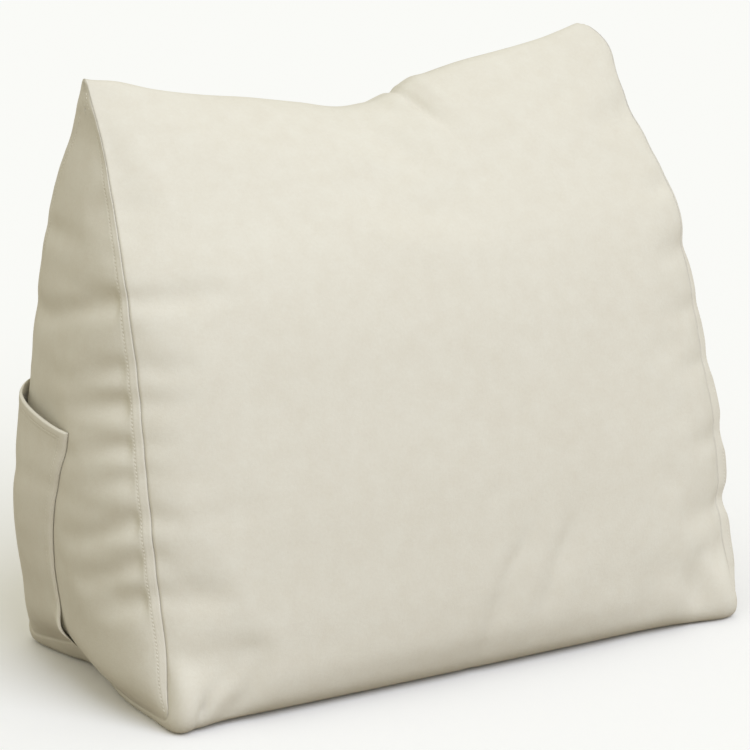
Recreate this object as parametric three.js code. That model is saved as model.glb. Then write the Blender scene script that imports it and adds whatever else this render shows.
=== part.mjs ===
// Wedge back cushion: one wrapped main panel, two triangular side panels and a patch pocket.
// Millimetres. X runs across the width, -Y is the leaning front face and +Z is up. The cushion stands
// on its flat underside at z = 0. The tables below are drawn from the middle of the side seams' feet.

import * as THREE from "three";

// Driving dimensions
const SEAM_WIDTH = 500; // between the two side seams at the foot
const SEAM_HEIGHT = 443; // from the table to the top ends of the side seams
const SEAM_DEPTH = 217; // between the front and back foot corners of a side seam
const ROLL_SAG = 40; // how far the middle of the top roll hangs below its ends
const CLOTH = 2; // thickness of the pocket's turned cloth

// Finish, from the photograph
const CREAM = new THREE.Color().setRGB(0.86, 0.84, 0.78, THREE.SRGBColorSpace);
const CREAM_POCKET = new THREE.Color().setRGB(0.85, 0.83, 0.77, THREE.SRGBColorSpace);
const CLOTH_ROUGHNESS = 0.9;

// The rows of a table, each value under its column's name.
function table(columns, values) {
  const names = columns.split(" ");
  return values.map((row) => Object.fromEntries(row.map((value, i) => [names[i], value])));
}

// The side seams, level by level from the foot to the top roll, at the drawn size. front, back and half
// place a seam, lean is how far both lie to the right, and bulge is how far the side panel swells out.
const DRAWN = { width: 500, height: 443, depth: 217, sag: 40 };
const LEVELS = [
  { name: "foot", z: 12, front: -108, back: 109, half: 250.4, lean: -0.4, bulge: 0 },
  { name: "shin", z: 34, front: -105, back: 113, half: 246.8, lean: -1.2, bulge: 20 },
  { name: "low", z: 62, front: -101, back: 115, half: 245, lean: -1.7, bulge: 24.5 },
  { name: "belly", z: 100, front: -92, back: 115, half: 246.8, lean: -0.8, bulge: 26.5 },
  { name: "waist", z: 150, front: -82, back: 114, half: 246.1, lean: -0.9, bulge: 26 },
  { name: "rib", z: 205, front: -68, back: 111, half: 243.5, lean: -1.3, bulge: 22 },
  { name: "chest", z: 265, front: -51, back: 105, half: 241.3, lean: -0.1, bulge: 17 },
  { name: "shoulder", z: 315, front: -34, back: 95.5, half: 239.7, lean: 0.7, bulge: 10 },
  { name: "neck", z: 360, front: -6, back: 88, half: 232, lean: -0.2, bulge: 6 },
  { name: "brow", z: 400, front: 20, back: 70, half: 226, lean: -0.9, bulge: 2 },
  { name: "lip", z: 429, front: 41, back: 61, half: 225.3, lean: 1.1, bulge: 0.5 },
  { name: "top", z: 443, front: 54, back: 54, half: 222.5, lean: -0.5, bulge: 0 },
];

// The section halfway along the width, at the same levels.
const MIDDLE = [
  { name: "foot", frontY: -117, frontZ: 5, backY: 114, backZ: 5 },
  { name: "shin", frontY: -131, frontZ: 28, backY: 129, backZ: 28 },
  { name: "low", frontY: -132.5, frontZ: 58, backY: 137, backZ: 60 },
  { name: "belly", frontY: -128, frontZ: 98, backY: 142, backZ: 100 },
  { name: "waist", frontY: -119, frontZ: 150, backY: 143, backZ: 150 },
  { name: "rib", frontY: -104, frontZ: 208, backY: 140, backZ: 205 },
  { name: "chest", frontY: -85, frontZ: 266, backY: 132, backZ: 262 },
  { name: "shoulder", frontY: -61, frontZ: 312, backY: 121, backZ: 308 },
  { name: "neck", frontY: -31, frontZ: 348, backY: 107, backZ: 346 },
  { name: "brow", frontY: 0, frontZ: 377, backY: 88, backZ: 380 },
  { name: "lip", frontY: 30, frontZ: 396, backY: 73, backZ: 396 },
  { name: "top", frontY: 52, frontZ: 401, backY: 52, backZ: 401 },
];
const LEVEL_STEPS = [3, 3, 4, 6, 6, 7, 6, 6, 5, 3, 2]; // mesh rows between one level and the next

// The underside, from the front foot to the back foot: the seam arches up, the middle is pressed flat.
// reach is the distance from the seam over which it comes down to the table.
const UNDER = [
  { name: "front toe", y: -80, seamZ: 12, half: 249, midY: -80, midZ: -8, reach: 4 },
  { name: "front arch", y: -32, seamZ: 14, half: 249, midY: -32, midZ: -12, reach: 6 },
  { name: "arch", y: 30, seamZ: 22, half: 245, midY: 30, midZ: -12, reach: 13 },
  { name: "back arch", y: 72, seamZ: 16, half: 248, midY: 72, midZ: -8, reach: 9 },
];

// Soft ears beside the four foot corners of the seams: how far the main panel stands out there to the
// side, forwards or backwards, and down, and how far along the foot they reach.
const EARS = [
  { seam: "left front", side: 2, out: 1, down: 6, reach: 27 },
  { seam: "right front", side: 0, out: 2, down: 8, reach: 50 },
  { seam: "left back", side: 2, out: 9, down: 7, reach: 46 },
  { seam: "right back", side: 2, out: 5, down: 6, reach: 40 },
];
const EAR_EDGE = 6; // they rise over this distance from the seam
const EAR_ROWS = 1.3; // and fade over this many table rows round the foot

// The top roll hangs unevenly: share of ROLL_SAG at places across the width, -1 left to 1 right.
const ROLL = [
  { across: -1.0, sag: 0.0 }, { across: -0.9, sag: 0.08 }, { across: -0.75, sag: 0.29 },
  { across: -0.58, sag: 0.47 }, { across: -0.4, sag: 0.62 }, { across: -0.2, sag: 0.83 },
  { across: -0.03, sag: 1.0 }, { across: 0.12, sag: 0.87 }, { across: 0.24, sag: 0.64 },
  { across: 0.42, sag: 0.42 }, { across: 0.6, sag: 0.28 }, { across: 0.78, sag: 0.13 },
  { across: 0.92, sag: -0.04 }, { across: 1.0, sag: 0.0 },
];

// Soft puckers that cross a side seam: the seam they cross and their height, half their thickness, how
// far they draw the seam in, their reach and depth on the side panel and on the main panel, and how far
// they fall for each millimetre over the side panel.
const PUCKERS = table("seam z half draw side sideDepth main mainDepth fall", [
  ["left front", 301, 8, 1.6, 86, 5.6, 58, 2.6, 0.27],
  ["left front", 255, 8, 0.8, 64, 3.4, 28, 1.2, 0.25],
  ["left front", 231, 8, 1.2, 60, 5.4, 36, 0.9, 0.22],
  ["left front", 203, 7, 0.6, 54, 4.6, 20, 0.3, 0.24],
  ["left front", 181, 7, 0.4, 48, 3, 20, 0.3, 0.28],
  ["left front", 152, 8, 1, 64, 5.6, 36, 1.2, 0.36],
  ["left front", 124, 8, 0.6, 58, 4.8, 20, 0.3, 0.38],
  ["left front", 97, 9, 1.2, 50, 5, 20, 0.4, 0.3],
  ["right front", 380, 14, 1.6, 12, 2.4, 40, 2.4, 0.1],
  ["right front", 330, 9, 0.4, 30, 3.4, 30, 2.6, 0.2],
  ["right front", 282, 9, 1.4, 50, 2.6, 28, 1.8, 0.25],
  ["right front", 238, 8, 0.8, 55, 3.4, 26, 1.6, 0.25],
  ["right front", 196, 8, 0.8, 55, 3.8, 28, 1.8, 0.3],
  ["right front", 140, 9, 1, 55, 4.2, 34, 2.2, 0.35],
  ["right front", 88, 12, 1.6, 50, 3.6, 30, 1.8, 0.3],
  ["left back", 330, 9, 0.6, 45, 2.6, 45, 2, 0],
  ["left back", 270, 9, 0.8, 45, 2.8, 50, 2.2, 0],
  ["left back", 150, 10, 0.6, 20, 3, 55, 2.4, 0],
  ["right back", 316, 9, 1, 45, 3.2, 50, 2.4, 0],
  ["right back", 246, 9, 0.8, 50, 2.8, 45, 2.2, 0],
  ["right back", 168, 9, 1, 50, 3.2, 50, 2.6, 0],
  ["right back", 108, 9, 0.8, 45, 2.6, 40, 2.2, 0],
]);

// Soft troughs pressed into the front and back faces: the middle, the run of the fold (across, up),
// half its length, half its thickness and its depth.
const TROUGHS = table("face x z runX runZ length half depth", [
  ["front", 74, 80, -0.49, -0.87, 40, 13, 2.8],
  ["front", 22, 62, -0.46, -0.89, 50, 13, 2.8],
  ["front", 204, 24, -0.15, -0.99, 22, 13, 4],
  ["front", 150, 30, -0.3, -0.95, 24, 15, 2.6],
  ["front", -196, 24, -0.55, -0.83, 26, 12, 4.6],
  ["front", -224, 98, 1, 0, 18, 12, 2],
  ["front", 48, 398, 0.5, -0.87, 20, 13, 3.2],
  ["front", 0, 384, 0.8, -0.6, 24, 14, 3],
  ["front", 168, 402, 0.94, 0.34, 44, 12, 1.4],
  ["back", -20, 360, 0.5, -0.87, 34, 14, 3.4],
  ["back", 34, 352, -0.4, -0.92, 30, 14, 3],
  ["back", -120, 60, 0.5, -0.87, 40, 15, 3.2],
  ["back", 130, 70, -0.6, -0.8, 44, 15, 3.2],
]);

// Fullness of the panels near their seams: the share of the crown that comes up at once, and over
// what distance from the seam.
const MAIN_FULLNESS = { share: 0.34, reach: 16 };
const UNDER_FULLNESS = { share: 0.85, reach: 4 };
const SIDE_FULLNESS = { share: 0.5, reach: 13 };
const SEAM_HOLD = 14; // how far from a seam the panels still follow where it is drawn in
const PRESS = 5; // heights within this of the table roll softly into the flat
const ROLL_REACH = 4.2; // table rows over which the roll's sag fades down the faces
const ROLL_CLEAR = 1; // table rows beside the top of the roll that stay free of creases
const FOOT_BLEND = 2; // table rows over which the underside's fullness turns into the faces'

// The topstitched seam allowance, a low strip on the side panel beside each slanted seam.
// Each takes at most a share of a narrow panel's width, and the one under the pocket starts above it.
const STRIP = { edge: 1.5, width: 9, end: 11.5, raise: 1.1, most: 0.42, start: 10 };

// Mesh columns of the main panel: distances shrink towards the seams by this power.
const MAIN_COLUMNS = 32;
const COLUMN_POWER = 1.5;
const SIDE_COLUMNS = 9; // plain columns between the two strips

// Side pocket, on the left side panel: its edges on the panel and its gape at the mouth.
const POCKET = {
  backInset: 3, // from the back seam
  mouth: 197, // height of its open edge at the front
  mouthRise: 13, // how much higher that edge is at the back
  foot: 5, // above the bottom seam
  seat: 1.5, // clear of the panel along its sewn edges
  gape: 9.8, // clear of the panel at the middle of the mouth
  hem: 8, // width of the turned hems on its front edge and mouth
  hemRaise: 0.8, // how much thicker the hems are
  taut: 0.8, // how soon the gape comes up from the sides, where 1 is a plain arch
  fall: 1.45, // how soon it comes up from the foot
  columns: 13,
  rows: 20,
};
// Its front edge bows with the panel under it.
const POCKET_FRONT = [
  { z: 10, y: 2 }, { z: 45, y: 5 }, { z: 75, y: 10 }, { z: 110, y: 13 }, { z: 150, y: 11 }, { z: 205, y: 3 },
];
// The panel is pressed in a little behind the mouth.
const POCKET_HOLLOW = { y: 62, z: 178, halfY: 42, halfZ: 52, depth: 4 };

const lerp = (a, b, k) => a + (b - a) * k;
const FRONT_INWARD = new THREE.Vector3(0, 0.94, -0.34);
const BACK_INWARD = new THREE.Vector3(0, -0.98, -0.17);
const gauss = (distance, half) => Math.exp(-((distance / half) ** 2));
const rampUp = (distance, reach) => 1 - Math.exp(-Math.max(distance, 0) / reach);
const smooth = (k) => {
  const c = THREE.MathUtils.clamp(k, 0, 1);
  return c * c * (3 - 2 * c);
};

// A smooth curve through a table's rows: the value column as a function of the key column.
function curveAt(table, key, value, at) {
  const last = table.length - 1;
  const above = table.findIndex((row) => row[key] > at);
  const i = above < 0 ? last - 1 : Math.max(above - 1, 0);
  const slope = (k) => {
    const [before, after] = [table[Math.max(k - 1, 0)], table[Math.min(k + 1, last)]];
    return (after[value] - before[value]) / (after[key] - before[key]);
  };
  const step = table[i + 1][key] - table[i][key];
  const f = THREE.MathUtils.clamp((at - table[i][key]) / step, 0, 1);
  const ends = table[i][value] * (1 + 2 * f) * (1 - f) ** 2 + table[i + 1][value] * f * f * (3 - 2 * f);
  return ends + step * (slope(i) * f * (1 - f) ** 2 - slope(i + 1) * f * f * (1 - f));
}

// The closed loop of seam and middle points, front top to foot, under, and back foot to top.
function loopRows() {
  const kx = SEAM_WIDTH / DRAWN.width;
  const ky = SEAM_DEPTH / DRAWN.depth;
  const kz = SEAM_HEIGHT / DRAWN.height;
  const ks = ROLL_SAG / DRAWN.sag;
  const middleZ = (level, z) => level.z * kz + (z - level.z) * (z < level.z ? ks : 1);
  const { reach } = UNDER_FULLNESS;
  const row = (level, y, midY, midZ) => [
    y * ky, level.z * kz, level.half * kx, midY * ky, middleZ(level, midZ), level.lean * kx, reach,
  ];
  const front = LEVELS.map((level, i) => row(level, level.front, MIDDLE[i].frontY, MIDDLE[i].frontZ));
  const under = UNDER.map((u) => [u.y * ky, u.seamZ, u.half * kx, u.midY * ky, u.midZ, 0, u.reach]);
  const back = LEVELS.map((level, i) => row(level, level.back, MIDDLE[i].backY, MIDDLE[i].backZ));
  return [...front.reverse(), ...under, ...back.slice(0, -1)];
}

const LOOP = loopRows();
const FOOT = LEVELS.length - 1; // loop row of the front foot; the top is row 0
const BACK_FOOT = FOOT + UNDER.length + 1;

// A point of the closed loop at a row number, by a Catmull-Rom curve through the rows.
function loopAt(t) {
  const n = LOOP.length;
  const i = Math.floor(t);
  const f = t - i;
  const at = (k) => LOOP[(((i + k) % n) + n) % n];
  const [p0, p1, p2, p3] = [at(-1), at(0), at(1), at(2)];
  return p1.map((v, c) => 0.5 * (2 * v + (p2[c] - p0[c]) * f
    + (2 * p0[c] - 5 * v + 4 * p2[c] - p3[c]) * f * f
    + (3 * v - p0[c] - 3 * p2[c] + p3[c]) * f * f * f));
}

// How far the side panel swells, as a smooth curve over the levels.
const BULGE = new THREE.SplineCurve(LEVELS.map((level, i) => new THREE.Vector2(i, level.bulge)));

// Mesh rows up the side as level numbers, 0 at the foot.
function levelStations() {
  const stations = LEVEL_STEPS.flatMap((steps, i) => Array.from({ length: steps }, (_, k) => i + k / steps));
  return [...stations, LEVELS.length - 1];
}

// Mesh columns across the side, 0 at the front seam to 1 at the back seam. The first and last few
// follow the strips, which close up as the panel narrows.
function sideStations(width) {
  const places = [0, STRIP.edge, STRIP.width, STRIP.end];
  const marks = places.map((d) => Math.min(d / width, (STRIP.most * d) / STRIP.end));
  const last = marks[marks.length - 1];
  const plain = Array.from({ length: SIDE_COLUMNS - 1 }, (_, k) => (k + 1) / SIDE_COLUMNS);
  const inner = plain.map((k) => lerp(last, 1 - last, k));
  return [...marks, ...inner, ...marks.map((m) => 1 - m).reverse()];
}

// How deep the puckers of one seam are at a height, this far from the seam on the side or main panel.
function puckerDepth(seam, z, distance, panel) {
  const fallen = panel === "side" ? distance : 0;
  return PUCKERS.filter((p) => p.seam === seam).reduce((sum, p) => {
    const off = z - p.z + p.fall * fallen;
    return sum + p[`${panel}Depth`] * gauss(off, p.half) * gauss(distance, p[panel]);
  }, 0);
}

// How deep the troughs of one face are at a place on it.
function troughDepth(face, x, z) {
  return TROUGHS.filter((t) => t.face === face).reduce((sum, t) => {
    const along = (x - t.x) * t.runX + (z - t.z) * t.runZ;
    const off = (z - t.z) * t.runX - (x - t.x) * t.runZ;
    return sum + t.depth * gauss(along, t.length) * gauss(off, t.half);
  }, 0);
}

// Heights at or under the table become its flat face, with a soft roll into it.
function pressed(z) {
  if (z <= -PRESS) return 0;
  return z < PRESS ? (z + PRESS) ** 2 / (4 * PRESS) : z;
}

// Which seam and which face a loop place belongs to.
function placeAt(t, u) {
  const hand = u < 0 ? "left" : "right";
  const n = LOOP.length;
  if (t < FOOT) return { seam: `${hand} front`, face: "front" };
  if (t > BACK_FOOT && t < n) return { seam: `${hand} back`, face: "back" };
  return { seam: null, face: "under" };
}

// A point of the seam, drawn in where puckers cross it. sign is -1 for the left seam, 1 for the right.
function seamAt(t, sign) {
  const [y, z, half, , , lean] = loopAt(t);
  const place = placeAt(t, sign);
  const draw = PUCKERS.filter((p) => p.seam === place.seam)
    .reduce((sum, p) => sum + p.draw * gauss(z - p.z, p.half), 0);
  const inward = place.face === "front" ? 1 : -1;
  return new THREE.Vector3(sign * (half - draw) + lean, y + inward * draw, z);
}

// How full the main panel is at a gap from its seam: 0 on the seam, 1 at the middle.
function crownRise(u, gap, half, fullness) {
  const { share, reach } = fullness;
  return (share * rampUp(gap, reach)) / rampUp(half, reach) + (1 - share) * (1 - u * u);
}

// How far the soft ear at the nearest foot corner moves the main panel.
function earAt(t, u, gap) {
  const front = t < (FOOT + BACK_FOOT) / 2;
  const ear = EARS.find((e) => e.seam === `${u < 0 ? "left" : "right"} ${front ? "front" : "back"}`);
  const round = gauss(t - (front ? FOOT : BACK_FOOT), EAR_ROWS);
  const share = round * rampUp(gap, EAR_EDGE) * gauss(gap, ear.reach);
  const offset = new THREE.Vector3(Math.sign(u) * ear.side, front ? -ear.out : ear.out, -ear.down);
  return offset.multiplyScalar(share);
}

// A point of the main panel: u across from -1 to 1, t round the loop.
function mainAt(u, t) {
  if (Math.abs(u) === 1) return seamAt(t, u);
  const [seamY, seamZ, half, midY, midZ, lean, reach] = loopAt(t);
  const gap = (1 - Math.abs(u)) * half;
  const beyond = Math.max(FOOT - t, t - BACK_FOOT, 0);
  const face = crownRise(u, gap, half, MAIN_FULLNESS);
  const under = crownRise(u, gap, half, { share: UNDER_FULLNESS.share, reach });
  const rise = lerp(under, face, smooth(beyond / FOOT_BLEND));
  const rows = Math.min(t, LOOP.length - t);
  const roll = gauss(rows, ROLL_REACH);
  const place = placeAt(t, u);
  const seam = seamAt(t, Math.sign(u));
  const hold = gauss(gap, SEAM_HOLD);
  const ear = earAt(t, u, gap);
  const x = u * half + lean + (seam.x - Math.sign(u) * half - lean) * hold + ear.x;
  let y = lerp(seamY, midY, rise) + (seam.y - seamY) * hold + ear.y;
  let z = lerp(seamZ, midZ, lerp(rise, curveAt(ROLL, "across", "sag", u), roll)) + ear.z;
  if (place.seam) {
    const pucker = puckerDepth(place.seam, z, gap, "main") * rampUp(gap, MAIN_FULLNESS.reach);
    const dip = (pucker + troughDepth(place.face, x, z)) * (1 - gauss(rows, ROLL_CLEAR));
    const inward = place.face === "front" ? FRONT_INWARD : BACK_INWARD;
    y += dip * inward.y;
    z += dip * inward.z;
  }
  return new THREE.Vector3(x, y, pressed(z));
}

// Distance from the front seam to the back seam at a level.
function sideWidth(sign, level) {
  const top = LEVELS.length - 1;
  return seamAt(level === top ? 0 : BACK_FOOT + level, sign).y - seamAt(top - level, sign).y;
}

// The smooth side panel at a level number and a place across it, before its strips.
function sideAt(sign, level, across) {
  const top = LEVELS.length - 1;
  const front = seamAt(top - level, sign);
  const back = seamAt(level === top ? 0 : BACK_FOOT + level, sign);
  const under = seamAt(lerp(FOOT, BACK_FOOT, across), sign);
  const straight = seamAt(FOOT, sign).lerp(seamAt(BACK_FOOT, sign), across);
  const point = front.clone().lerp(back, across);
  point.addScaledVector(under.sub(straight), (1 - level / top) ** 2);
  const bulge = BULGE.getPoint(level / top).y;
  const [toFront, toBack] = [across * (back.y - front.y), (1 - across) * (back.y - front.y)];
  const { share, reach } = SIDE_FULLNESS;
  const [upFront, upBack] = [rampUp(toFront, reach), rampUp(toBack, reach)];
  const rise = share * upFront * upBack + (1 - share) * 4 * across * (1 - across);
  const hand = sign < 0 ? "left" : "right";
  const pucker = puckerDepth(`${hand} front`, point.z, toFront, "side") * upFront
    + puckerDepth(`${hand} back`, point.z, toBack, "side") * upBack;
  const hollow = sign < 0 ? POCKET_HOLLOW.depth * gauss(point.y - POCKET_HOLLOW.y, POCKET_HOLLOW.halfY)
    * gauss(point.z - POCKET_HOLLOW.z, POCKET_HOLLOW.halfZ) * upFront * upBack : 0;
  point.x += sign * (bulge * rise - pucker - hollow);
  return point;
}

// Height of the topstitched strip at a distance from its seam.
function stripRaise(distance) {
  const up = smooth(distance / STRIP.edge);
  const down = 1 - smooth((distance - STRIP.width) / (STRIP.end - STRIP.width));
  return STRIP.raise * up * down;
}

// A point of the side panel with its strips.
function sidePoint(sign, level, across) {
  const point = sideAt(sign, level, across);
  const width = sideWidth(sign, level);
  const shrink = Math.min(1, (STRIP.most * width) / STRIP.end);
  const nearFront = (across * width) / shrink;
  const nearBack = ((1 - across) * width) / shrink;
  const open = sign < 0 ? smooth((point.z - POCKET.mouth - STRIP.start) / STRIP.start) : 1;
  point.x += sign * shrink * (stripRaise(nearFront) + open * stripRaise(nearBack));
  return point;
}

// Index triples of a closed body from a list of quads and triangles over shared points.
class Skin {
  constructor() {
    this.points = [];
    this.faces = [];
  }

  add(point) {
    this.points.push(point);
    return this.points.length - 1;
  }

  triangle(a, b, c) {
    if (a !== b && b !== c && c !== a) this.faces.push(a, b, c);
  }

  quad(a, b, c, d) {
    this.triangle(a, b, c);
    this.triangle(a, c, d);
  }

  geometry() {
    const geometry = new THREE.BufferGeometry();
    const flat = this.points.flatMap((p) => [p.x, p.y, p.z]);
    geometry.setAttribute("position", new THREE.Float32BufferAttribute(flat, 3));
    geometry.setIndex(this.faces);
    geometry.computeVertexNormals();
    return geometry;
  }
}

// The filled cover: the main panel's rows round the loop, and the two side panels set into them.
function cushionGeometry() {
  const skin = new Skin();
  const levels = levelStations();
  const top = LEVELS.length - 1;
  const footWidth = seamAt(BACK_FOOT, 1).y - seamAt(FOOT, 1).y;
  const across = sideStations(footWidth);
  const round = [
    ...levels.map((level) => top - level).reverse(),
    ...across.slice(1, -1).map((a) => lerp(FOOT, BACK_FOOT, a)),
    ...levels.slice(0, -1).map((level) => BACK_FOOT + level),
  ];
  const columns = Array.from({ length: MAIN_COLUMNS + 1 }, (_, k) => {
    const u = (2 * k) / MAIN_COLUMNS - 1;
    return Math.sign(u) * (1 - (1 - Math.abs(u)) ** COLUMN_POWER);
  });
  const main = round.map((t) => columns.map((u) => skin.add(mainAt(u, t))));
  for (let i = 0; i < main.length; i += 1) {
    const next = main[(i + 1) % main.length];
    for (let k = 0; k < MAIN_COLUMNS; k += 1) {
      skin.quad(main[i][k], next[k], next[k + 1], main[i][k + 1]);
    }
  }
  const frontRow = (r) => levels.length - 1 - r;
  const underRow = (c) => levels.length - 1 + c;
  const backRow = (r) => (underRow(across.length - 1) + r) % round.length;
  for (const sign of [-1, 1]) {
    const edge = sign < 0 ? 0 : MAIN_COLUMNS;
    const side = levels.map((level, r) => {
      if (r === levels.length - 1) return across.map(() => main[0][edge]);
      const places = sideStations(sideWidth(sign, level));
      return across.map((a, c) => {
        if (c === 0) return main[frontRow(r)][edge];
        if (c === across.length - 1) return main[backRow(r)][edge];
        if (r === 0) return main[underRow(c)][edge];
        return skin.add(sidePoint(sign, level, places[c]));
      });
    });
    for (let r = 0; r + 1 < levels.length; r += 1) {
      for (let c = 0; c + 1 < across.length; c += 1) {
        const corners = [side[r][c], side[r][c + 1], side[r + 1][c + 1], side[r + 1][c]];
        if (sign < 0) corners.reverse();
        skin.quad(...corners);
      }
    }
  }
  return skin.geometry();
}

// Where on the left side panel a depth and a height lie, found by stepping towards them.
const STEPS = 24;
const NUDGE = 0.01;
function sideUnder(y, z) {
  const top = LEVELS.length - 1;
  let level = top / 2;
  let across = 0.5;
  for (let step = 0; step < STEPS; step += 1) {
    const here = sideAt(-1, level, across);
    const up = sideAt(-1, level + NUDGE, across);
    const over = sideAt(-1, level, across + NUDGE);
    level = THREE.MathUtils.clamp(level + ((z - here.z) / (up.z - here.z)) * NUDGE, 0, top - 1);
    across = THREE.MathUtils.clamp(across + ((y - here.y) / (over.y - here.y)) * NUDGE, 0, 1);
  }
  return sidePoint(-1, level, across);
}

// Level number of a height on the side.
function levelOf(z) {
  const k = LEVELS.findIndex((level) => level.z > z);
  return k < 1 ? 0 : k - 1 + (z - LEVELS[k - 1].z) / (LEVELS[k].z - LEVELS[k - 1].z);
}

// A point of the pocket's inner face: a from the back edge to the front edge, b from foot to mouth.
function pocketInner(a, b) {
  const mouth = POCKET.mouth + POCKET.mouthRise * (1 - a);
  const [footFront, footBack] = [seamAt(FOOT, -1), seamAt(BACK_FOOT, -1)];
  const place = (z) => {
    const backEdge = seamAt(BACK_FOOT + levelOf(z), -1).y - POCKET.backInset;
    return lerp(backEdge, curveAt(POCKET_FRONT, "z", "y", z), a);
  };
  const across = (place(2 * POCKET.foot) - footFront.y) / (footBack.y - footFront.y);
  const low = seamAt(lerp(FOOT, BACK_FOOT, across), -1).z + POCKET.foot;
  const z = lerp(low, mouth, b);
  const y = place(z);
  const arch = Math.max(Math.sin(Math.PI * a), 0) ** POCKET.taut;
  const room = POCKET.gape * arch * smooth(POCKET.fall * b);
  return new THREE.Vector3(sideUnder(y, z).x - POCKET.seat - room, y, z);
}

// Places along a pocket side of a given length, with a pair of extra ones at the hem's edge.
function hemStations(length, count) {
  const fold = 1 - POCKET.hem / length;
  const crease = 1 / length;
  const plain = Array.from({ length: count + 1 }, (_, k) => (k / count) * (fold - crease));
  return [...plain, fold, 1 - crease, 1];
}

// The pocket: a sheet over the side panel, with thicker turned hems at its front edge and mouth.
function pocketGeometry() {
  const skin = new Skin();
  const backEdge = seamAt(BACK_FOOT + levelOf(POCKET.mouth), -1).y;
  const width = backEdge - curveAt(POCKET_FRONT, "z", "y", POCKET.mouth);
  const across = hemStations(width, POCKET.columns);
  const up = hemStations(POCKET.mouth, POCKET.rows);
  const [lastAcross, lastUp] = [across.length - 1, up.length - 1];
  const thick = (c, r) => CLOTH + (c >= lastAcross - 2 || r >= lastUp - 2 ? POCKET.hemRaise : 0);
  const inner = up.map((b) => across.map((a) => skin.add(pocketInner(a, b))));
  const outer = inner.map((row, r) => row.map((i, c) => {
    const point = skin.points[i].clone();
    point.x -= thick(c, r);
    return skin.add(point);
  }));
  for (let r = 0; r < lastUp; r += 1) {
    for (let c = 0; c < lastAcross; c += 1) {
      skin.quad(outer[r][c], outer[r][c + 1], outer[r + 1][c + 1], outer[r + 1][c]);
      skin.quad(inner[r][c], inner[r + 1][c], inner[r + 1][c + 1], inner[r][c + 1]);
    }
    skin.quad(inner[r][0], outer[r][0], outer[r + 1][0], inner[r + 1][0]);
    skin.quad(outer[r][lastAcross], inner[r][lastAcross], inner[r + 1][lastAcross], outer[r + 1][lastAcross]);
  }
  for (let c = 0; c < lastAcross; c += 1) {
    skin.quad(inner[0][c], inner[0][c + 1], outer[0][c + 1], outer[0][c]);
    skin.quad(outer[lastUp][c], outer[lastUp][c + 1], inner[lastUp][c + 1], inner[lastUp][c]);
  }
  return skin.geometry();
}

function piece(name, geometry, color) {
  const material = new THREE.MeshStandardMaterial({ color, roughness: CLOTH_ROUGHNESS, metalness: 0 });
  const mesh = new THREE.Mesh(geometry, material);
  mesh.name = name;
  return mesh;
}

const cushion = new THREE.Group();
cushion.add(piece("cushion", cushionGeometry(), CREAM));
cushion.add(piece("side_pocket", pocketGeometry(), CREAM_POCKET));

// The origin is under the middle of the whole cushion, its swollen faces and pocket included.
const middle = new THREE.Box3().setFromObject(cushion).getCenter(new THREE.Vector3());
cushion.position.set(-middle.x, -middle.y, 0);

export default cushion;
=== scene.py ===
# %% [markdown]
# # Wedge back cushion
# A sewn cover in cream brushed cloth over one filling, with a patch pocket on its left end. The solids
# from the CAD file give the size and the frame. Here they get the finer cover, the pocket's cloth, the
# stitches, the cloth's own surface, and a soft daylight studio.

import bpy
import numpy as np
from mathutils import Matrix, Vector


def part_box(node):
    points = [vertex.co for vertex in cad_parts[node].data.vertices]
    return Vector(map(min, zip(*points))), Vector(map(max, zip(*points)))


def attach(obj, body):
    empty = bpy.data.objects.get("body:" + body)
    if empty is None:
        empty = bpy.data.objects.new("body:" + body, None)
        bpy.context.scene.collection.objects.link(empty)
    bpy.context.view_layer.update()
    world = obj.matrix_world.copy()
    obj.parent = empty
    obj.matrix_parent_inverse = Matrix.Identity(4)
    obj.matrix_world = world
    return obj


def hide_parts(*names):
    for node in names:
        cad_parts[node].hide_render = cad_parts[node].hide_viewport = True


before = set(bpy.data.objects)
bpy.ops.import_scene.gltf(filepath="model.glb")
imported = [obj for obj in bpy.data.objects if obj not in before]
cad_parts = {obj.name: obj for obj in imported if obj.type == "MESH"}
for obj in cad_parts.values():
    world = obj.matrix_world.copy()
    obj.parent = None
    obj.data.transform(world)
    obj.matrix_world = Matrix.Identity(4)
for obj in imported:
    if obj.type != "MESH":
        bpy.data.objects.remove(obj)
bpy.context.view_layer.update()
MM = 0.001
solid_low, solid_high = (np.array(corner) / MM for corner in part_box("cushion"))
print("solid from", solid_low.round(1), "to", solid_high.round(1), "mm")

# %% [markdown]
# ## The shape in tables
# The cover is the same surface as the solid: a closed loop of rows that runs down the front, under the
# base and up the back, and two side panels between its seams. The tables are in millimetres, drawn from
# the middle of the seams' feet, so that a finer mesh can be taken from them.

# %% Tables of the cover
def table(columns, rows):
    """The rows as one array for each named column."""
    return dict(zip(columns.split(), np.array(rows, float).T, strict=True))


LEVELS = table("z front back half lean bulge", [
    (12, -108, 109, 250.4, -0.4, 0), (34, -105, 113, 246.8, -1.2, 20), (62, -101, 115, 245, -1.7, 24.5),
    (100, -92, 115, 246.8, -0.8, 26.5), (150, -82, 114, 246.1, -0.9, 26), (205, -68, 111, 243.5, -1.3, 22),
    (265, -51, 105, 241.3, -0.1, 17), (315, -34, 95.5, 239.7, 0.7, 10), (360, -6, 88, 232, -0.2, 6),
    (400, 20, 70, 226, -0.9, 2), (429, 41, 61, 225.3, 1.1, 0.5), (443, 54, 54, 222.5, -0.5, 0),
])
MIDDLE = table("front_y front_z back_y back_z", [
    (-117, 5, 114, 5), (-131, 28, 129, 28), (-132.5, 58, 137, 60), (-128, 98, 142, 100),
    (-119, 150, 143, 150), (-104, 208, 140, 205), (-85, 266, 132, 262), (-61, 312, 121, 308),
    (-31, 348, 107, 346), (0, 377, 88, 380), (30, 396, 73, 396), (52, 401, 52, 401),
])
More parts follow.
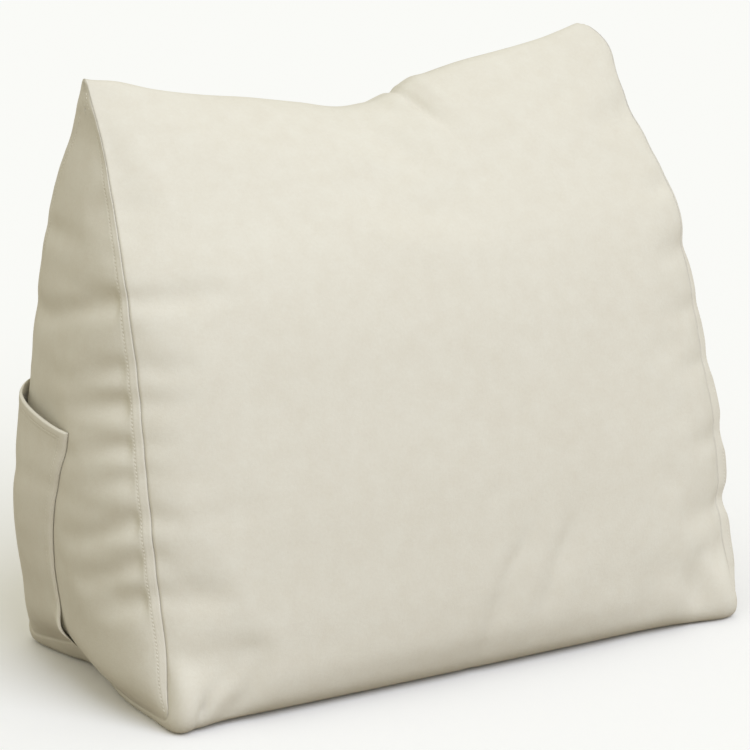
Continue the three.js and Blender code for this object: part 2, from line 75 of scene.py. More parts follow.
UNDER = table("y seam_z half middle_y middle_z reach", [
    (-80, 7, 249, -80, -8, 4), (-32, 8, 249, -32, -12, 6),
    (30, 20, 245, 30, -12, 13), (72, 16, 248, 72, -8, 9),
])
LEFT, RIGHT, FRONT, BACK = -1, 1, 0, 1
EARS = {(LEFT, FRONT): (2, 1, 6, 27), (RIGHT, FRONT): (0, 2, 8, 50),
        (LEFT, BACK): (2, 9, 7, 46), (RIGHT, BACK): (2, 5, 6, 40)}  # side, out, down, reach
ROLL = table("across sag", [
    (-1, 0), (-0.9, 0.08), (-0.75, 0.29), (-0.58, 0.47), (-0.4, 0.62), (-0.2, 0.83), (-0.03, 1),
    (0.12, 0.87), (0.24, 0.64), (0.42, 0.42), (0.6, 0.28), (0.78, 0.13), (0.92, -0.04), (1, 0),
])
PUCKERS = table("hand face z half draw side side_depth main main_depth fall", [
    (LEFT, FRONT, 301, 8, 1.6, 86, 5.6, 58, 2.6, 0.27), (LEFT, FRONT, 255, 8, 0.8, 64, 3.4, 28, 1.2, 0.25),
    (LEFT, FRONT, 231, 8, 1.2, 60, 5.4, 36, 0.9, 0.22), (LEFT, FRONT, 203, 7, 0.6, 54, 4.6, 20, 0.3, 0.24),
    (LEFT, FRONT, 181, 7, 0.4, 48, 3, 20, 0.3, 0.28), (LEFT, FRONT, 152, 8, 1, 64, 5.6, 36, 1.2, 0.36),
    (LEFT, FRONT, 124, 8, 0.6, 58, 4.8, 20, 0.3, 0.38), (LEFT, FRONT, 97, 9, 1.2, 50, 5, 20, 0.4, 0.3),
    (RIGHT, FRONT, 380, 14, 1.6, 12, 2.4, 40, 2.4, 0.1), (RIGHT, FRONT, 330, 9, 0.4, 30, 3.4, 30, 2.6, 0.2),
    (RIGHT, FRONT, 282, 9, 1.4, 50, 2.6, 28, 1.8, 0.25), (RIGHT, FRONT, 238, 8, 0.8, 55, 3.4, 26, 1.6, 0.25),
    (RIGHT, FRONT, 196, 8, 0.8, 55, 3.8, 28, 1.8, 0.3), (RIGHT, FRONT, 140, 9, 1, 55, 4.2, 34, 2.2, 0.35),
    (RIGHT, FRONT, 88, 9, 2.4, 50, 3.6, 30, 1.8, 0.3), (LEFT, BACK, 330, 9, 0.6, 45, 2.6, 45, 2, 0),
    (LEFT, BACK, 270, 9, 0.8, 45, 2.8, 50, 2.2, 0), (LEFT, BACK, 150, 10, 0.6, 20, 3, 55, 2.4, 0),
    (RIGHT, BACK, 316, 9, 1, 45, 3.2, 50, 2.4, 0), (RIGHT, BACK, 246, 9, 0.8, 50, 2.8, 45, 2.2, 0),
    (RIGHT, BACK, 168, 9, 1, 50, 3.2, 50, 2.6, 0), (RIGHT, BACK, 108, 9, 0.8, 45, 2.6, 40, 2.2, 0),
])
TROUGHS = {
    FRONT: table("x z run_x run_z length half depth", [
        (74, 80, -0.49, -0.87, 40, 13, 2.8), (22, 62, -0.46, -0.89, 50, 13, 2.8),
        (204, 24, -0.15, -0.99, 22, 13, 4), (150, 30, -0.3, -0.95, 24, 15, 2.6),
        (-196, 24, -0.55, -0.83, 26, 12, 4.6), (-224, 98, 1, 0, 18, 12, 2),
        (48, 398, 0.5, -0.87, 20, 13, 3.2), (0, 384, 0.8, -0.6, 24, 14, 3), (168, 402, 0.94, 0.34, 44, 12, 1.4),
    ]),
    BACK: table("x z run_x run_z length half depth", [
        (-20, 360, 0.5, -0.87, 34, 14, 3.4), (34, 352, -0.4, -0.92, 30, 14, 3),
        (-120, 60, 0.5, -0.87, 40, 15, 3.2), (130, 70, -0.6, -0.8, 44, 15, 3.2),
    ]),
}
CREASES = table("x z run_x run_z length half depth", [
    (76, 91, -0.49, -0.87, 22, 5.5, 0.9), (58, 53, -0.32, -0.95, 18, 5.5, 0.8),
    (31, 88, -0.63, -0.77, 19, 5, 1.1), (11, 51, -0.3, -0.95, 20, 5, 1.1),
    (2, 17, -0.16, -0.99, 15, 5, 1), (16, 136, -0.5, -0.87, 8, 5, 0.5),
    (43, 401, 0.62, -0.78, 13, 3.4, 4.2), (20, 399, 0.6, -0.8, 12, 7, 1.4), (58, 410, 0.5, -0.87, 16, 7, -1.8),
    (109, 407, 1, 0, 8, 5, 0.7), (148, 427, 0.99, 0.13, 18, 3.2, 0.6), (196, 441, 0.98, 0.22, 10, 3.2, 0.6),
    (206, 405, 0.35, -0.94, 14, 4, 0.7), (214, 380, 0.2, -0.98, 12, 4, 0.5),
    (-228, 17, -0.3, -0.95, 11, 3.4, 5.6), (-210, 37, 0.75, 0.66, 26, 9, 3.2),
    (-240, 30, -0.1, -0.99, 26, 8, -2.2),
    (196, 36, 0.75, -0.66, 20, 12, 1.8), (226, 34, 0.2, -0.98, 26, 10, -1.6), (222, 326, 1, 0.1, 16, 5, 0.8),
    (-221, 390, -0.08, -1, 62, 15, 2.2), (-206, 16, 1, 0.1, 17, 8, 1.8),
])
# how a panel fills beside its seams: the share that rises there, and the reach over which it rises
MAIN_FULLNESS, UNDER_SHARE, UNDER_REACH, MIDDLE_REACH = (0.34, 16), 0.85, 4, 17
SIDE_FULLNESS = {LEFT: (0.76, 25), RIGHT: (0.82, 14)}
SEAM_HOLD, PRESS, ROLL_REACH, ROLL_CLEAR, FOOT_BLEND, EAR_EDGE, EAR_ROWS = 14, 5, 4.2, 1, 2, 6, 1.3
TIP = {LEFT: 0, RIGHT: 10}
HOLLOW = {"y": 62, "z": 178, "half_y": 42, "half_z": 52, "depth": 4}
INWARD = {FRONT: np.array([0, 0.94, -0.34]), BACK: np.array([0, -0.98, -0.17])}
print(len(LEVELS["z"]), "levels,", len(PUCKERS["z"]), "puckers,", len(CREASES["x"]), "creases")

# %% [markdown]
# ## Curves and swells
# Every form below is made of a few smooth shapes: a bell, a soft ramp, a soft step, and smooth curves
# through the rows of a table.

# %% Smooth shapes
def bell(distance, half):
    """1 at distance 0, falling to nothing over a few times half: e to the minus square."""
    return np.exp(-((distance / half) ** 2))


def ramp(distance, reach):
    """0 at and below distance 0, then rising towards 1 over reach."""
    return 1 - np.exp(-np.maximum(distance, 0) / reach)


def step(k):
    """0 below k = 0 and 1 above k = 1, with a soft rise between, 3k squared minus 2k cubed."""
    k = np.clip(k, 0, 1)
    return k * k * (3 - 2 * k)


def mix(a, b, k):
    """a where k is 0, b where k is 1, and their straight blend between."""
    return a + (b - a) * k


def curve(xs, ys, x):
    """A smooth cubic curve through the points (xs, ys), with slopes from each point's neighbours."""
    last = len(xs) - 1
    i = np.clip(np.searchsorted(xs, x, side="right") - 1, 0, last - 1)
    before, after = np.maximum(np.arange(last + 1) - 1, 0), np.minimum(np.arange(last + 1) + 1, last)
    slope = (ys[after] - ys[before]) / (xs[after] - xs[before])
    width = xs[i + 1] - xs[i]
    f = np.clip((x - xs[i]) / width, 0, 1)
    ends = ys[i] * (1 + 2 * f) * (1 - f) ** 2 + ys[i + 1] * f * f * (3 - 2 * f)
    return ends + width * (slope[i] * f * (1 - f) ** 2 - slope[i + 1] * f * f * (1 - f))


def spline(rows, at, closed):
    """The Catmull-Rom curve through evenly numbered rows, at fractional row numbers."""
    i = np.floor(at).astype(int)
    if not closed:
        i = np.minimum(i, len(rows) - 2)
    f = (at - i).reshape(at.shape + (1,) * (rows.ndim - 1))
    near = [i + k for k in (-1, 0, 1, 2)]
    near = [n % len(rows) if closed else np.clip(n, 0, len(rows) - 1) for n in near]
    a, b, c, d = (rows[n] for n in near)
    return 0.5 * (2 * b + (c - a) * f + (2 * a - 5 * b + 4 * c - d) * f**2 + (3 * b - a - 3 * c + d) * f**3)


print("curve through the roll's table at the middle:", curve(ROLL["across"], ROLL["sag"], np.array([0.0])))

# %% [markdown]
# ## The main panel and its seams
# The panel hangs between its two seams like a sail: it leaves each seam steeply, then bulges to the
# middle. Puckers are short troughs that cross a seam and pull it in a little.

# %% The loop and the seams
def seam_loop():
    """Rows (y, z, half width, middle y, middle z, lean, reach), front top to foot, under, back up."""
    reach, still = np.full(len(LEVELS["z"]), UNDER_REACH), np.zeros(len(UNDER["y"]))
    L, M, U = LEVELS, MIDDLE, UNDER
    front = np.stack([L["front"], L["z"], L["half"], M["front_y"], M["front_z"], L["lean"], reach], -1)
    back = np.stack([L["back"], L["z"], L["half"], M["back_y"], M["back_z"], L["lean"], reach], -1)
    under = np.stack([U["y"], U["seam_z"], U["half"], U["middle_y"], U["middle_z"], still, U["reach"]], -1)
    return np.concatenate([front[::-1], under, back[:-1]])


LOOP = seam_loop()
TOP = len(LEVELS["z"]) - 1
FOOT, BACK_FOOT = TOP, TOP + len(UNDER["y"]) + 1


def face_masks(t):
    """Which of the loop places t lie on the front and which on the back."""
    t = t % len(LOOP)
    return {FRONT: t < FOOT, BACK: t > BACK_FOOT}


def puckers(hand, face, z, distance, values):
    """The sum of values over one seam's puckers, each a bell in height that falls with the distance."""
    total = 0
    for n in np.flatnonzero((PUCKERS["hand"] == hand) & (PUCKERS["face"] == face)):
        row = {name: column[n] for name, column in PUCKERS.items()}
        total = total + values(row) * bell(z - row["z"] + row["fall"] * distance, row["half"])
    return total


def seam(t, hand):
    """Points of the left or right seam at loop places t, drawn in where puckers cross it."""
    y, z, half, _, _, lean, _ = np.moveaxis(spline(LOOP, t, True), -1, 0)
    masks = face_masks(t)
    draw = {face: puckers(hand, face, z, 0, lambda row: row["draw"]) * masks[face] for face in masks}
    from_top = np.minimum(t % len(LOOP), len(LOOP) - t % len(LOOP))
    tip = TIP[hand] * bell(from_top, 0.75)
    x = hand * (half - draw[FRONT] - draw[BACK] - tip) + lean
    return np.stack([x, y + draw[FRONT] - draw[BACK], z], -1)


# %% The main panel
def crown(u, gap, half, share, reach):
    """How full a panel is, from 0 on its seam to 1 in its middle: a steep start and an arch."""
    return share * ramp(gap, reach) / ramp(half, reach) + (1 - share) * (1 - u * u)


def troughs(folds, x, z):
    """The depth of soft folds: along each fold a bell, times a bell across it."""
    total = 0
    for n in range(len(folds["x"])):
        row = {name: column[n] for name, column in folds.items()}
        along = (x - row["x"]) * row["run_x"] + (z - row["z"]) * row["run_z"]
        off = (z - row["z"]) * row["run_x"] - (x - row["x"]) * row["run_z"]
        total = total + row["depth"] * bell(along, row["length"]) * bell(off, row["half"])
    return total


def pressed(z):
    """Heights near and under the table, rolled softly into its flat."""
    return np.where(z <= -PRESS, 0, np.where(z < PRESS, (z + PRESS) ** 2 / (4 * PRESS), z))


def half_panel(u, t, hand):
    """Points of the main panel on one hand. u is 0 in the middle, -1 or 1 on that hand's seam."""
    seam_y, seam_z, half, middle_y, middle_z, lean, reach = np.moveaxis(spline(LOOP, t, True), -1, 0)
    gap = (1 - np.abs(u)) * half
    masks = face_masks(t)
    beyond = np.maximum(np.maximum(FOOT - t, t - BACK_FOOT), 0)
    face_rise = crown(u, gap, half, *MAIN_FULLNESS)
    under_rise = crown(u, gap, half, UNDER_SHARE, reach)
    rise = mix(under_rise, face_rise, step(beyond / FOOT_BLEND))
    rows = np.minimum(t, len(LOOP) - t)
    pulled = seam(t, hand)
    hold = bell(gap, SEAM_HOLD)
    near_front = t < (FOOT + BACK_FOOT) / 2
    ears = [np.where(near_front, a, b) for a, b in zip(EARS[hand, FRONT], EARS[hand, BACK], strict=True)]
    side, out, down, ear_reach = ears
    corner = bell(t - np.where(near_front, FOOT, BACK_FOOT), EAR_ROWS)
    ear = corner * ramp(gap, EAR_EDGE) * bell(gap, ear_reach)
    x = u * half + lean + (pulled[..., 0] - hand * half - lean) * hold + hand * side * ear
    y = mix(seam_y, middle_y, rise) + (pulled[..., 1] - seam_y) * hold + out * ear * np.where(near_front, -1, 1)
    sag = mix(rise, curve(ROLL["across"], ROLL["sag"], u), bell(rows, ROLL_REACH))
    z = mix(seam_z, middle_z, sag) - down * ear
    points = np.stack([x, y, z], -1)
    for face, mask in masks.items():
        pucker = puckers(hand, face, z, 0, lambda row: row["main_depth"] * bell(gap, row["main"]))
        dip = pucker * ramp(gap, MAIN_FULLNESS[1]) + troughs(TROUGHS[face], x, z)
        dip = dip * (1 - bell(rows, ROLL_CLEAR)) * mask
        points = points + dip[..., None] * INWARD[face]
    points[..., 2] = pressed(points[..., 2])
    return np.where((np.abs(u) == 1)[..., None], pulled, points)


def main_panel(u, t):
    """Points of the main panel: u across from -1 to 1, t round the loop."""
    u, t = np.broadcast_arrays(u, t)
    return np.where((u < 0)[..., None], half_panel(u, t, LEFT), half_panel(u, t, RIGHT))


print("middle of the front:", main_panel(np.array(0.0), np.array(5.0)).round(1), "mm")

# %% [markdown]
# ## The side panels
# Each end is a triangle of cloth between the front seam, the back seam and the foot's seam. It swells
# out between them. Beside the slanted seams lies a strip, where the seam's allowance is folded under
# the side panel and stitched down.

# %% The side panel
def side_seams(hand, level):
    """Points of the front and the back seam at a level."""
    return seam(TOP - level, hand), seam(np.where(level == TOP, 0, BACK_FOOT + level), hand)


def side_panel(hand, level, across):
    """Points of a side panel: level 0 at the foot to 11 at the top, across 0 front to 1 back.

    A share of its swell rises over a reach from both slanted seams, and the rest is an arch. The share
    is scaled so that the reach doesn't change how full the middle is.
    """
    level, across = np.broadcast_arrays(np.asarray(level, float), np.asarray(across, float))
    front, back = side_seams(hand, level)
    under = seam(mix(FOOT, BACK_FOOT, across), hand)
    ends = [seam(np.full(level.shape, float(end)), hand) for end in (FOOT, BACK_FOOT)]
    k = across[..., None]
    points = mix(front, back, k) + (under - mix(*ends, k)) * ((1 - level / TOP) ** 2)[..., None]
    width = back[..., 1] - front[..., 1]
    to_front, to_back = across * width, (1 - across) * width
    share, reach = SIDE_FULLNESS[hand]
    up_front, up_back = ramp(to_front, reach), ramp(to_back, reach)
    middle = np.maximum(width, 1e-6) / 2
    share_up = share * (ramp(middle, MIDDLE_REACH) / ramp(middle, reach)) ** 2
    rise = share_up * up_front * up_back + (1 - share) * 4 * across * (1 - across)
    swell = spline(LEVELS["bulge"][:, None], level, False)[..., 0] * rise
    z = points[..., 2]
    for face, away, up in ((FRONT, to_front, 1), (BACK, to_back, up_back)):
        depth = puckers(hand, face, z, away, lambda row, away=away: row["side_depth"] * bell(away, row["side"]))
        swell = swell - depth * step((away - 6) / 11) * up
    if hand == LEFT:
        hollow = bell(points[..., 1] - HOLLOW["y"], HOLLOW["half_y"]) * bell(z - HOLLOW["z"], HOLLOW["half_z"])
        swell = swell - HOLLOW["depth"] * hollow * up_front * up_back
    points[..., 0] += hand * swell
    return points


print("middle of the left side:", side_panel(LEFT, np.array(4.0), np.array(0.5)).round(1), "mm")

# %% [markdown]
# ## One mesh from three panels
# The three panels share their seam points, so the cover is one closed skin. Its columns crowd together
# beside the seams, where the folded edge and the stitches need them.

# %% Where the rows and columns lie
FINE_FROM_SEAM = np.array([0.35, 0.7, 1.1, 1.6, 2.3, 3.2, 4.4, 5.8, 7.4, 9.4])
STRIP_COLUMNS = np.array([0.3, 0.6, 1.0, 1.6, 2.6, 3.8, 5.2, 6.3, 6.8, 7.2, 7.6, 8.0, 8.6, 9.8, 12, 15])
# the share of a narrow panel that each millimetre of a strip takes at most
STRIP_MOST = 0.42 / STRIP_COLUMNS[-1] * 1.6


def level_rows(spacing):
    """Level numbers from 0 to the top, evenly spaced up the seam."""
    numbers = np.linspace(0, TOP, 40 * TOP + 1)
    rise = np.linalg.norm(np.diff(seam(TOP - numbers, LEFT), axis=0), axis=1)
    run = np.concatenate([[0], np.cumsum(rise)])
    return np.interp(np.linspace(0, run[-1], round(run[-1] / spacing) + 1), run, numbers)


def side_columns(width, spacing_count, marks):
    """Places across a side panel of each width, with extra ones at the marks beside both seams.

    At the top tip a panel is narrower than twice the last mark. The marks of both seams cross there,
    the columns between them run backwards, and the mesh lies in three layers.
    """
    near = np.concatenate([[0], marks])
    near = near * np.minimum(1 / width, STRIP_MOST)[:, None] if len(marks) else np.zeros((len(width), 1))
    plain = np.arange(1, spacing_count) / spacing_count
    inner = mix(near[:, -1:], 1 - near[:, -1:], plain)
    return np.concatenate([near, inner, 1 - near[:, ::-1]], axis=1)


def main_columns(spacing, marks, half):
    """Places across the main panel from -1 to 1, with extra ones at the marks beside both seams."""
    near = np.concatenate([[0], marks]) / half
    plain = np.linspace(near[-1], 1, round((1 - near[-1]) * half / spacing) + 1)[1:]
    right = 1 - np.concatenate([near, plain])[::-1]
    return np.concatenate([-right[:0:-1], right])


def lay_out(spacing, side_count, side_marks, main_marks):
    """The loop places of the rows, the columns, and the places on the side panels."""
    levels = level_rows(spacing)
    half_width = LEVELS["half"].mean()
    across = {}
    for hand in (LEFT, RIGHT):
        front, back = side_seams(hand, levels)
        across[hand] = side_columns(np.maximum(back[:, 1] - front[:, 1], 1e-6), side_count, side_marks)
    under = mix(FOOT, BACK_FOOT, across[LEFT][0, 1:-1])
    loop = np.concatenate([TOP - levels[::-1], under, BACK_FOOT + levels[:-1]])
    return {"levels": levels, "loop": loop, "across": across,
            "columns": main_columns(spacing, main_marks, half_width)}


def build_panels(places):
    """The three panels' points as grids, taken from the formulas."""
    main = main_panel(places["columns"][None, :], places["loop"][:, None])
    sides = {hand: side_panel(hand, places["levels"][:, None], places["across"][hand])
             for hand in (LEFT, RIGHT)}
    return main, sides


def join_panels(main_shape, side_shape):
    """Point numbers of the main grid and both side grids, with the seams' points shared."""
    rows, columns = main_shape
    levels, across = side_shape
    main = np.arange(rows * columns).reshape(rows, columns)
    sides, used = {}, rows * columns
    for hand, edge in ((LEFT, 0), (RIGHT, columns - 1)):
        grid = np.zeros((levels, across), int)
        grid[1:-1, 1:-1] = used + np.arange((levels - 2) * (across - 2)).reshape(levels - 2, across - 2)
        used += (levels - 2) * (across - 2)
        seam_rows = np.arange(levels)
        grid[:, 0] = main[levels - 1 - seam_rows, edge]
        grid[:, -1] = main[(levels - 1 + across - 1 + seam_rows) % rows, edge]
        grid[0] = main[levels - 1 + np.arange(across), edge]
        grid[-1] = main[0, edge]
        sides[hand] = grid
    return main, sides


def panel_faces(numbers, flip):
    """The quads of a grid of point numbers, and triangles where a row has shrunk to one point."""
    corners = [numbers[:-1, :-1], numbers[:-1, 1:], numbers[1:, 1:], numbers[1:, :-1]]
    quads = np.stack(corners, -1).reshape(-1, 4)
    if flip:
        quads = quads[:, ::-1]
    ends = np.array([len(set(quad)) < 4 for quad in quads[-numbers.shape[1]:]])
    whole = np.concatenate([np.ones(len(quads) - len(ends), bool), ~ends])
    short = [list(dict.fromkeys(quad)) for quad in quads[~whole].tolist()]
    return quads[whole].tolist() + [face for face in short if len(face) == 3]


def skin(main_numbers, side_numbers, main, sides):
    """All the points and faces of the closed cover."""
    points = np.zeros((side_numbers[RIGHT].max() + 1, 3))
    points[main_numbers] = main
    for hand in (LEFT, RIGHT):
        points[side_numbers[hand][1:-1, 1:-1]] = sides[hand][1:-1, 1:-1]
    wrapped = np.concatenate([main_numbers, main_numbers[:1]])
    faces = panel_faces(wrapped.T, False)
    for hand in (LEFT, RIGHT):
        faces += panel_faces(side_numbers[hand], hand == LEFT)
    return points, faces


fine = lay_out(3.2, 52, STRIP_COLUMNS, FINE_FROM_SEAM)
fine_main, fine_sides = build_panels(fine)
fine_main_numbers, fine_side_numbers = join_panels(fine_main.shape[:2], fine_sides[LEFT].shape[:2])
print("fine grid:", fine_main.shape[:2], "and sides", fine_sides[LEFT].shape[:2])

# %% [markdown]
# ## Grids that can be read between their points
# The stitches, the pocket and the settled cloth all need places between mesh points. On the fine grids
# straight blends are close enough. The coarse wrinkles are read with smooth curves, except across the
# side panels.

# %% Reading a grid
def numbers_at(places, marks):
    """The fractional numbers that places have in a row of marks."""
    return np.interp(places, marks, np.arange(len(marks)))


def between(grid, rows, columns):
    """Values of a grid at fractional row and column numbers: two straight blends."""
    rows = np.clip(rows, 0, len(grid) - 1 - 1e-9)
    columns = np.clip(columns, 0, grid.shape[1] - 1 - 1e-9)
    r, c = np.floor(rows).astype(int), np.floor(columns).astype(int)
    fr, fc = (rows - r)[..., None], (columns - c)[..., None]
    return mix(mix(grid[r, c], grid[r, c + 1], fc), mix(grid[r + 1, c], grid[r + 1, c + 1], fc), fr)


def spread(loop_grid, row_numbers, column_numbers):
    """A grid round the loop read on a finer one: smooth curves down the rows, then along the columns."""
    tall = spline(loop_grid, row_numbers, True)
    wide = spline(np.moveaxis(tall, 1, 0), column_numbers, False)
    return np.moveaxis(wide, 0, 1)


def normals_of(grid, outward):
    """Unit normals of a grid surface, on the side to which the vectors in outward point."""
    down, right = np.gradient(grid, axis=0), np.gradient(grid, axis=1)
    normal = np.cross(down, right)
    normal = normal / np.maximum(np.linalg.norm(normal, axis=-1, keepdims=True), 1e-12)
    return normal * np.sign((normal * outward).sum())


# %% [markdown]
# ## The filling presses the cloth
# A sewn cover is a little too small along its seams and a little too large between them, so the filling
# raises soft wrinkles that start at the seams. A coarse copy of the cover is blown up by the cloth
# solver, with its seams shrunk. Only the wrinkles are kept from it, and the large form stays as measured.

# %% The cover settles under pressure
def placed(name, data):
    """A new object in the scene with this mesh, lamp or camera in it."""
    thing = bpy.data.objects.new(name, data)
    bpy.context.collection.objects.link(thing)
    return thing


def soften(values, edges, times):
    """Each point's value averaged with its neighbours' mean, this many times."""
    count = np.bincount(edges.ravel(), minlength=len(values))[:, None]
    for _ in range(times):
        total = np.zeros_like(values)
        np.add.at(total, edges[:, 0], values[edges[:, 1]])
        np.add.at(total, edges[:, 1], values[edges[:, 0]])
        values = (values + total / count) / 2
    return values


def blow_up(points, faces, seam_points):
    """The points of the cover after twenty steps of the cloth solver, in millimetres."""
    mesh = bpy.data.meshes.new("settling")
    mesh.from_pydata((points * MM).tolist(), [], faces)
    body = placed("settling", mesh)
    standing = np.flatnonzero(points[:, 2] < 0.5)
    for name, members in (("seams", seam_points), ("foot", standing)):
        body.vertex_groups.new(name=name).add(members.tolist(), 1.0, "REPLACE")
    cloth = body.modifiers.new("Filling", "CLOTH").settings
    cloth.quality = 5
    cloth.mass = 0.3
    cloth.tension_stiffness = cloth.compression_stiffness = 60
    cloth.shear_stiffness = 20
    cloth.bending_stiffness = 5
    cloth.use_pressure = True
    cloth.uniform_pressure_force = 1
    cloth.effector_weights.gravity = 0
    cloth.vertex_group_mass = "foot"
    cloth.vertex_group_shrink = "seams"
    cloth.shrink_min, cloth.shrink_max = 0, 0.02
    for number in range(1, 21):
        bpy.context.scene.frame_set(number)
    settled = body.evaluated_get(bpy.context.evaluated_depsgraph_get())
    result = np.zeros(len(points) * 3)
    settled.data.vertices.foreach_get("co", result)
    bpy.data.objects.remove(body)
    bpy.context.scene.frame_set(1)
    return result.reshape(-1, 3) / MM


coarse = lay_out(7, 26, np.array([]), np.array([3.5]))
coarse_main, coarse_sides = build_panels(coarse)
coarse_numbers, coarse_side_numbers = join_panels(coarse_main.shape[:2], coarse_sides[LEFT].shape[:2])
coarse_points, coarse_faces = skin(coarse_numbers, coarse_side_numbers, coarse_main, coarse_sides)
wrinkles = np.zeros_like(coarse_points)
WRINKLE_SHARE, WRINKLE_MOST = 0.35, 2
# they start above the foot, at a height and over a length, and are few under the pocket
WRINKLES_START = (3, 22)
QUIET = {"y": 60, "z": 110, "half_y": 60, "half_z": 110, "out": 200, "rise": 40}
pairs = {tuple(sorted(pair)) for face in coarse_faces
         for pair in zip(face, face[1:] + face[:1], strict=True)}
edges = np.array(sorted(pairs))
seams = np.unique(np.concatenate([
    coarse_side_numbers[hand][:, end] for hand in (LEFT, RIGHT) for end in (0, -1)]))
moved = blow_up(coarse_points, coarse_faces, seams) - coarse_points
wrinkles = WRINKLE_SHARE * soften(moved - soften(moved, edges, 90), edges, 1)
length = np.linalg.norm(wrinkles, axis=1, keepdims=True)
wrinkles *= np.minimum(1, WRINKLE_MOST / np.maximum(length, 1e-9))
wrinkles *= step((coarse_points[:, 2:] - WRINKLES_START[0]) / WRINKLES_START[1])
x, y, z = coarse_points.T
by_pocket = bell(y - QUIET["y"], QUIET["half_y"]) * bell(z - QUIET["z"], QUIET["half_z"])
wrinkles *= (1 - by_pocket * step((-x - QUIET["out"]) / QUIET["rise"]))[:, None]
print("moved up to", np.abs(moved).max().round(1), "mm, wrinkles up to", length.max().round(1), "mm")

# %% [markdown]
# ## The folded edge beside each seam
# Where the allowance is folded under the side panel, a strip stands a little proud. It starts with a
# crisp folded edge, dips under the row of stitches and then fades out. The main panel sinks into a
# narrow ditch along that edge. Last, the fine creases of the photograph are pressed in at right angles to
# the cloth: two long ones low on the front, one over the top roll, and a pinch at each front foot corner.

# %% The strip and the ditch
STITCH_LINE = 7.4
STRIP_RAISE = 0.4
DITCH, SINK = (2, 0.65), (0.8, 0.3)  # how deep and how wide
# where the strips fade in or out: a height, and the length over which they do
ABOVE_FOOT, BELOW_TIP, ABOVE_POCKET = (14, 12), (436, 16), (207, 10)


def strip_relief(distance):
    """Height of the strip at a distance from its seam: a sharp edge, a soft top, a dip, a fade."""
    edge = np.sqrt(np.clip(distance / 0.9, 0, 1))
    fade = 1 - step((distance - STITCH_LINE + 0.6) / 4)
    puff = 0.1 * bell(distance - 4, 2.2) + 0.25 * bell(distance - 1.1, 0.9)
    dip = 0.55 * bell(distance - STITCH_LINE, 0.8)
    return STRIP_RAISE * edge * fade + puff - dip


def finish_sides(places, sides):
    """The side panels with their strips. Each strip closes up where its panel narrows."""
    finished = {}
    for hand, grid in sides.items():
        front, back = side_seams(hand, places["levels"])
        width = (back[:, 1] - front[:, 1])[:, None]
        shrink = np.minimum(1, STRIP_MOST * width)
        across = places["across"][hand]
        to_front, to_back = (part * width / np.maximum(shrink, 1e-6) for part in (across, 1 - across))
        z = grid[..., 2]
        open_back = step((z - ABOVE_POCKET[0]) / ABOVE_POCKET[1]) if hand == LEFT else 1
        ends = step((z - ABOVE_FOOT[0]) / ABOVE_FOOT[1]) * step((BELOW_TIP[0] - z) / BELOW_TIP[1])
        raise_by = (strip_relief(to_front) + open_back * strip_relief(to_back)) * ends
        moved = grid.copy()
        moved[..., 0] += hand * shrink * raise_by
        finished[hand] = moved
    return finished


def finish_main(places, grid):
    """The main panel with a narrow ditch along its seams."""
    half = LEVELS["half"].mean()
    gap = (1 - np.abs(places["columns"]))[None, :] * half
    masks = face_masks(places["loop"])
    depth = DITCH[0] * bell(gap, DITCH[1])
    moved = grid.copy()
    for face, mask in masks.items():
        moved += (depth * mask[:, None])[..., None] * INWARD[face]
    moved[..., 0] += SINK[0] * bell(gap, SINK[1]) * np.sign(-places["columns"])[None, :]
    return moved


def press_creases(places, grid):
    """The main panel with its fine creases pressed in at right angles to the cloth."""
    t = places["loop"]
    front = np.where(t <= FOOT + 1.5, 1 - step(t - FOOT), bell(len(LOOP) - t, 1.5))
    normals = normals_of(grid, grid - grid.mean((0, 1)))
    gap = (1 - np.abs(places["columns"])) * LEVELS["half"].mean()
    depth = troughs(CREASES, grid[..., 0], grid[..., 2]) * front[:, None] * ramp(gap, 3)
    return grid - depth[..., None] * normals


def add_wrinkles(places, main, sides):
    """The fine grids moved by the coarse wrinkles: smooth between their points, straight across a side."""
    rows = numbers_at(places["loop"], np.append(coarse["loop"], len(LOOP)))
    columns = numbers_at(places["columns"], coarse["columns"])
    main = main + spread(wrinkles[coarse_numbers], rows, columns)
    rows = numbers_at(places["levels"], coarse["levels"])
    moved = {}
    for hand, grid in sides.items():
        tall = spline(wrinkles[coarse_side_numbers[hand]], rows, False)
        place = numbers_at(places["across"][hand], coarse["across"][hand][0])
        row_numbers = np.broadcast_to(np.arange(len(rows))[:, None], place.shape).astype(float)
        moved[hand] = grid + between(tall, row_numbers, place)
    return main, moved


fine_main, fine_sides = add_wrinkles(fine, fine_main, fine_sides)
fine_sides = finish_sides(fine, fine_sides)
fine_main = finish_main(fine, press_creases(fine, fine_main))
points, faces = skin(fine_main_numbers, fine_side_numbers, fine_main, fine_sides)
middle = (solid_low + solid_high) / 2 - (points.min(0) + points.max(0)) / 2
SHIFT = np.array([middle[0], middle[1], 0])
print(len(points), "points; moved by", SHIFT.round(2), "mm to stand where the solid stands")


# %% [markdown]
# ## Meshes and cloth coordinates
# Each piece's place is in its mesh. A map in metres of cloth lies on the cover and on the pocket, so
# that the weave runs straight along it, round the curves.

# %% Make the cover
def cloth_map(grid):
    """Metres of cloth along the columns and the rows of a grid, measured from its first corner."""
    across = np.linalg.norm(np.diff(grid, axis=1), axis=-1).mean(0)
    down = np.linalg.norm(np.diff(grid, axis=0), axis=-1).mean(1)
    flat = np.zeros(grid.shape[:2] + (2,))
    flat[..., 0] = np.concatenate([[0], np.cumsum(across)])[None, :]
    flat[..., 1] = np.concatenate([[0], np.cumsum(down)])[:, None]
    return flat * MM


